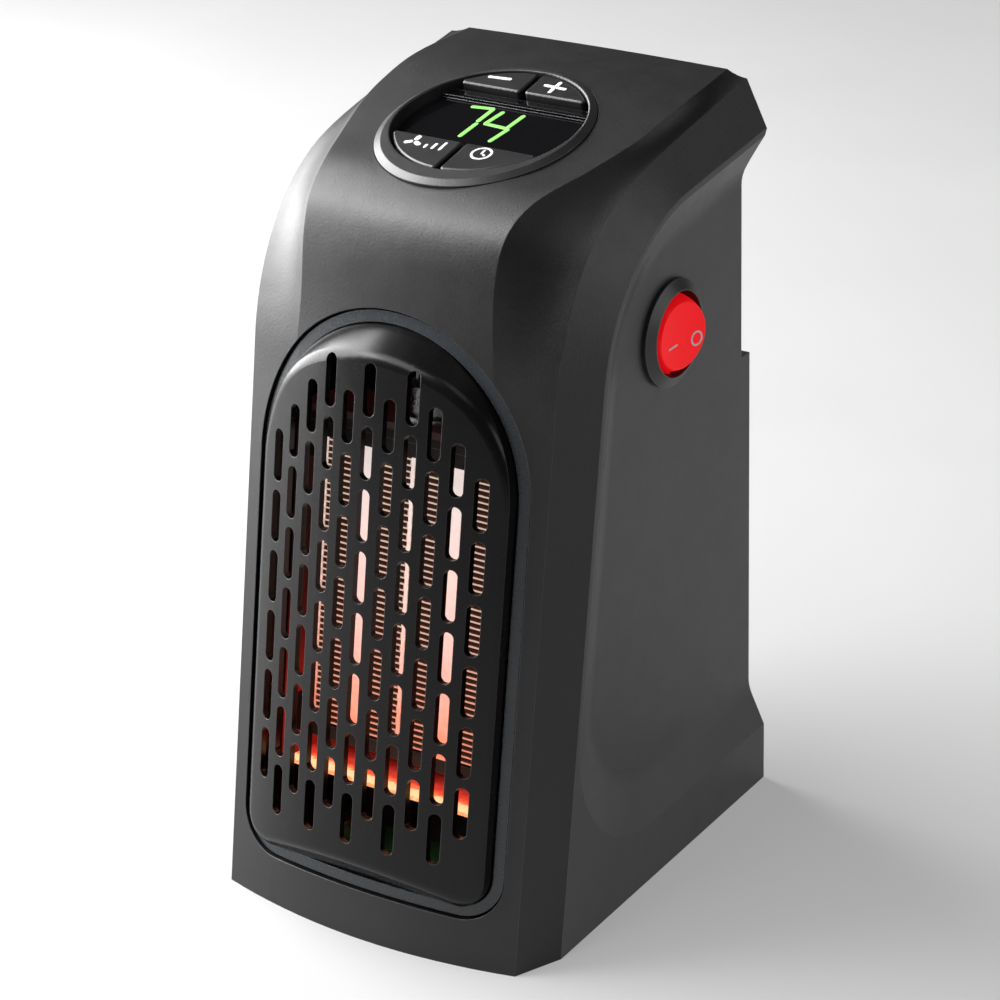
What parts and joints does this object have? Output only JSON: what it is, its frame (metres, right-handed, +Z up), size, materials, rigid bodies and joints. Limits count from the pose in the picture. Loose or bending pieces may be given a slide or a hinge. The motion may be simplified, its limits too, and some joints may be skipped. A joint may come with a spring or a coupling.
{
  "type": "ceramic space heater",
  "caption": "Compact plug-in ceramic fan heater: raked body, domed slotted outlet grille, round keypad with display on top, side rocker switch, turning wall plug at the back.",
  "frame": {"origin": "middle of the base, on the surface the heater stands on", "axes": "+X to the side with the power switch, -Y out of the air outlet, +Z up"},
  "size_m": [0.0844, 0.1215, 0.1678],
  "materials": {
    "cover_plastic": "fine grain, satin",
    "housing_plastic": "fine grain, satin",
    "trim_plastic": "satin",
    "grille_plastic": "semi-gloss",
    "ring_plastic": "satin",
    "key_plastic": "satin with bevelled edge",
    "lens": "polished dark lens",
    "rocker_red": "translucent, lit from inside",
    "switch_plastic": "satin",
    "lamp_glass": "clear",
    "steel": "zinc plated",
    "brass": "plain",
    "nickel": "nickel plated brass",
    "fin_aluminium": "bare strip",
    "ptc_metal": "bare tube over ceramic stones",
    "heat_board": "heat-proof, matt",
    "duct_plastic": "heat-proof, matt",
    "reflector": "bright",
    "fan_plastic": "plain",
    "motor_steel": "plated can",
    "circuit_board": "solder mask",
    "component": "moulded",
    "display_body": "moulded",
    "guide_plastic": "plain",
    "inner_plastic": "plain"
  },
  "bodies": {
    "body": {"front_cover": "cover_plastic", "rear_housing": "housing_plastic", "housing_screws": "steel", "grille_trim": "trim_plastic", "outlet_grille": "grille_plastic", "ptc_bars": "ptc_metal", "heater_plates": "ptc_metal", "heater_fins": "fin_aluminium", "lower_end_frame": "heat_board", "upper_end_frame": "heat_board", "heat_duct": "duct_plastic", "heat_shield": "heat_board", "air_deflector": "reflector", "thermostat": "steel", "thermal_fuse": "component", "fan_shroud": "fan_plastic", "fan_motor": "motor_steel", "control_ring": "ring_plastic", "key_guide": "guide_plastic", "display_window": "lens", "display_module": "display_body", "control_board": "circuit_board", "tact_switches": "component", "board_screws": "steel", "switch_body": "switch_plastic", "switch_lamp": "lamp_glass", "switch_terminals": "brass", "plug_retainer": "inner_plastic", "supply_board": "circuit_board", "supply_relays": "component", "supply_parts": "component", "supply_screws": "steel"},
    "minus_key": {"minus_key": "key_plastic"},
    "plus_key": {"plus_key": "key_plastic"},
    "fan_speed_key": {"fan_speed_key": "key_plastic"},
    "timer_key": {"timer_key": "key_plastic"},
    "rocker": {"switch_rocker": "rocker_red"},
    "plug": {"plug_carrier": "inner_plastic", "plug_blades": "nickel"},
    "fan": {"fan_impeller": "fan_plastic", "motor_shaft": "steel"}
  },
  "joints": [
    {"name": "minus_key_press", "type": "slide", "parent": "body", "child": "minus_key", "axis": [0, 0.2079, -0.9781], "range_m": [0, 0.0006], "stiffness_N_per_m": 1500},
    {"name": "plus_key_press", "type": "slide", "parent": "body", "child": "plus_key", "axis": [0, 0.2079, -0.9781], "range_m": [0, 0.0006], "stiffness_N_per_m": 1500},
    {"name": "fan_speed_key_press", "type": "slide", "parent": "body", "child": "fan_speed_key", "axis": [0, 0.2079, -0.9781], "range_m": [0, 0.0006], "stiffness_N_per_m": 1500},
    {"name": "timer_key_press", "type": "slide", "parent": "body", "child": "timer_key", "axis": [0, 0.2079, -0.9781], "range_m": [0, 0.0006], "stiffness_N_per_m": 1500},
    {"name": "rocker_tilt", "type": "hinge", "parent": "body", "child": "rocker", "pos_m": [0.0368, 0.0176, 0.1211], "axis": [0, 0, 1], "range_deg": [0, 20]},
    {"name": "plug_turn", "type": "hinge", "parent": "body", "child": "plug", "pos_m": [0, 0.051, 0.048], "axis": [0, 1, 0], "range_deg": [-90, 90]},
    {"name": "fan_spin", "type": "hinge", "parent": "body", "child": "fan", "pos_m": [0, -0.0014, 0.06328], "axis": [0, -0.9847, 0.1745], "continuous": true}
  ]
}
